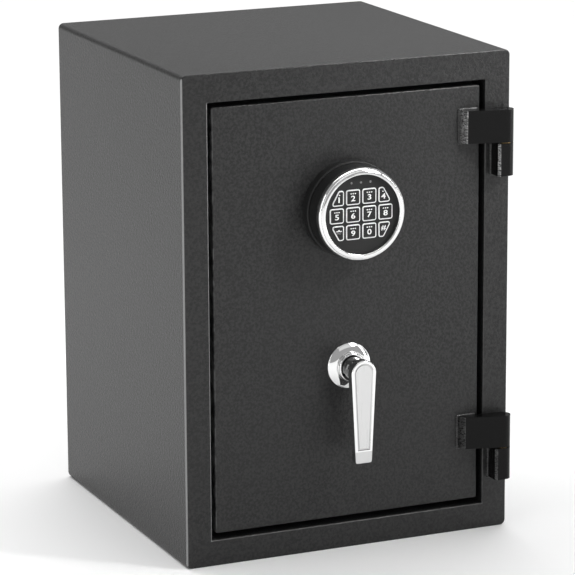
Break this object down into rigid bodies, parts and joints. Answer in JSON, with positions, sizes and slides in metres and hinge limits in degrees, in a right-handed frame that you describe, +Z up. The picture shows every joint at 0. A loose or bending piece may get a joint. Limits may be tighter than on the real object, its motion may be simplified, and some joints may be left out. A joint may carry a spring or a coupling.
{
  "type": "security safe",
  "caption": "Black steel fire-resistant box safe with a side-hinged door, a round electronic keypad, a chrome lever handle and a sliding bolt work.",
  "frame": {"origin": "centre of the four floor anchor holes, on the underside of the body's base", "axes": "+Z up, -Y out of the door towards the user, +X towards the hinges (the user's right)"},
  "size_m": [0.312, 0.3365, 0.438],
  "materials": {
    "body_powder_coat": "fine-textured black powder coat",
    "hinge_paint": "black paint over rough-cut steel",
    "liner_paint": "smooth grey paint",
    "chrome_plate": "polished chrome",
    "bright_steel": "turned and ground steel",
    "zinc_plate": "zinc-plated steel",
    "screw_steel": "zinc-plated screws",
    "bronze_bush": "turned bearing bronze",
    "lock_diecast": "as-cast zinc alloy",
    "insulation": "cast fire-resistant cement",
    "black_plastic": "fine matt moulded plastic",
    "sleeve_plastic": "natural nylon",
    "key_rubber": "black silicone rubber with white print",
    "dome_rubber": "translucent silicone domes",
    "seal_rubber": "soft black seal",
    "mat_felt": "charcoal needle felt",
    "lamp_lens": "clear lamp lens",
    "board_green": "green solder mask",
    "battery_wrap": "plain dark battery sleeve",
    "coil_wrap": "wound coil in black tape",
    "cable_pvc": "black flexible PVC"
  },
  "bodies": {
    "cabinet": {"outer_casing": "body_powder_coat", "front_frame": "body_powder_coat", "inner_liner": "liner_paint", "bolt_pockets": "liner_paint", "insulation_fill": "insulation", "anchor_sleeves": "zinc_plate", "floor_mat": "mat_felt", "shelf": "liner_paint", "shelf_brackets": "liner_paint", "hinge_sockets": "hinge_paint", "hinge_pins": "bright_steel", "hinge_washers": "bronze_bush"},
    "door": {"door_skin": "body_powder_coat", "door_plug": "liner_paint", "door_back_cover": "liner_paint", "back_cover_screws": "screw_steel", "door_insulation": "insulation", "door_sleeves": "sleeve_plastic", "lock_mount_plate": "zinc_plate", "door_seal": "seal_rubber", "bolt_bushes": "bronze_bush", "hinge_side_bolts": "bright_steel", "hinge_leaves": "hinge_paint", "handle_rosette": "chrome_plate", "spindle_bushes": "bronze_bush", "carriage_guide_screws": "screw_steel", "lock_case": "lock_diecast", "lock_cover": "lock_diecast", "lock_screws": "screw_steel", "lock_solenoid": "coil_wrap", "keypad_cable": "cable_pvc", "keypad_base": "black_plastic", "keypad_screws": "screw_steel", "keypad_housing": "black_plastic", "keypad_bezel": "chrome_plate", "keypad_face": "black_plastic", "key_domes": "dome_rubber", "status_lamps": "lamp_lens", "circuit_board": "board_green", "battery": "battery_wrap"},
    "handle": {"handle_lever": "chrome_plate", "handle_spindle": "bright_steel", "crank": "zinc_plate", "crank_screw_and_washer": "screw_steel"},
    "bolt_work": {"locking_bolts": "bright_steel", "bolt_fixing_screws": "screw_steel", "bolt_carriage": "zinc_plate"},
    "lock_tongue": {"lock_bolt": "lock_diecast"},
    "button_1": {"key_1": "key_rubber"},
    "button_2": {"key_2": "key_rubber"},
    "button_3": {"key_3": "key_rubber"},
    "button_4": {"key_4": "key_rubber"},
    "button_5": {"key_5": "key_rubber"},
    "button_6": {"key_6": "key_rubber"},
    "button_7": {"key_7": "key_rubber"},
    "button_8": {"key_8": "key_rubber"},
    "button_star": {"key_star": "key_rubber"},
    "button_9": {"key_9": "key_rubber"},
    "button_0": {"key_0": "key_rubber"},
    "button_hash": {"key_hash": "key_rubber"}
  },
  "joints": [
    {"name": "door_hinge", "type": "hinge", "parent": "cabinet", "child": "door", "pos_m": [0.1475, -0.1608, 0.2], "axis": [0, 0, 1], "range_deg": [0, 170]},
    {"name": "handle_turn", "type": "hinge", "parent": "door", "child": "handle", "pos_m": [0, -0.1525, 0.1676], "axis": [0, -1, 0], "range_deg": [0, 90]},
    {"name": "bolts_slide", "type": "slide", "parent": "door", "child": "bolt_work", "axis": [-1, 0, 0], "range_m": [0, 0.022]},
    {"name": "lock_tongue_drop", "type": "slide", "parent": "door", "child": "lock_tongue", "axis": [0, 0, -1], "range_m": [0, 0.009]},
    {"name": "key_1_press", "type": "slide", "parent": "door", "child": "button_1", "axis": [0, 1, 0], "range_m": [0, 0.0008], "stiffness_N_per_m": 500},
    {"name": "key_2_press", "type": "slide", "parent": "door", "child": "button_2", "axis": [0, 1, 0], "range_m": [0, 0.0008], "stiffness_N_per_m": 500},
    {"name": "key_3_press", "type": "slide", "parent": "door", "child": "button_3", "axis": [0, 1, 0], "range_m": [0, 0.0008], "stiffness_N_per_m": 500},
    {"name": "key_4_press", "type": "slide", "parent": "door", "child": "button_4", "axis": [0, 1, 0], "range_m": [0, 0.0008], "stiffness_N_per_m": 500},
    {"name": "key_5_press", "type": "slide", "parent": "door", "child": "button_5", "axis": [0, 1, 0], "range_m": [0, 0.0008], "stiffness_N_per_m": 500},
    {"name": "key_6_press", "type": "slide", "parent": "door", "child": "button_6", "axis": [0, 1, 0], "range_m": [0, 0.0008], "stiffness_N_per_m": 500},
    {"name": "key_7_press", "type": "slide", "parent": "door", "child": "button_7", "axis": [0, 1, 0], "range_m": [0, 0.0008], "stiffness_N_per_m": 500},
    {"name": "key_8_press", "type": "slide", "parent": "door", "child": "button_8", "axis": [0, 1, 0], "range_m": [0, 0.0008], "stiffness_N_per_m": 500},
    {"name": "key_star_press", "type": "slide", "parent": "door", "child": "button_star", "axis": [0, 1, 0], "range_m": [0, 0.0008], "stiffness_N_per_m": 500},
    {"name": "key_9_press", "type": "slide", "parent": "door", "child": "button_9", "axis": [0, 1, 0], "range_m": [0, 0.0008], "stiffness_N_per_m": 500},
    {"name": "key_0_press", "type": "slide", "parent": "door", "child": "button_0", "axis": [0, 1, 0], "range_m": [0, 0.0008], "stiffness_N_per_m": 500},
    {"name": "key_hash_press", "type": "slide", "parent": "door", "child": "button_hash", "axis": [0, 1, 0], "range_m": [0, 0.0008], "stiffness_N_per_m": 500}
  ],
  "couplings": [
    {"joint": "bolts_slide", "follows": "handle_turn", "m_per_rad": 0.014}
  ]
}
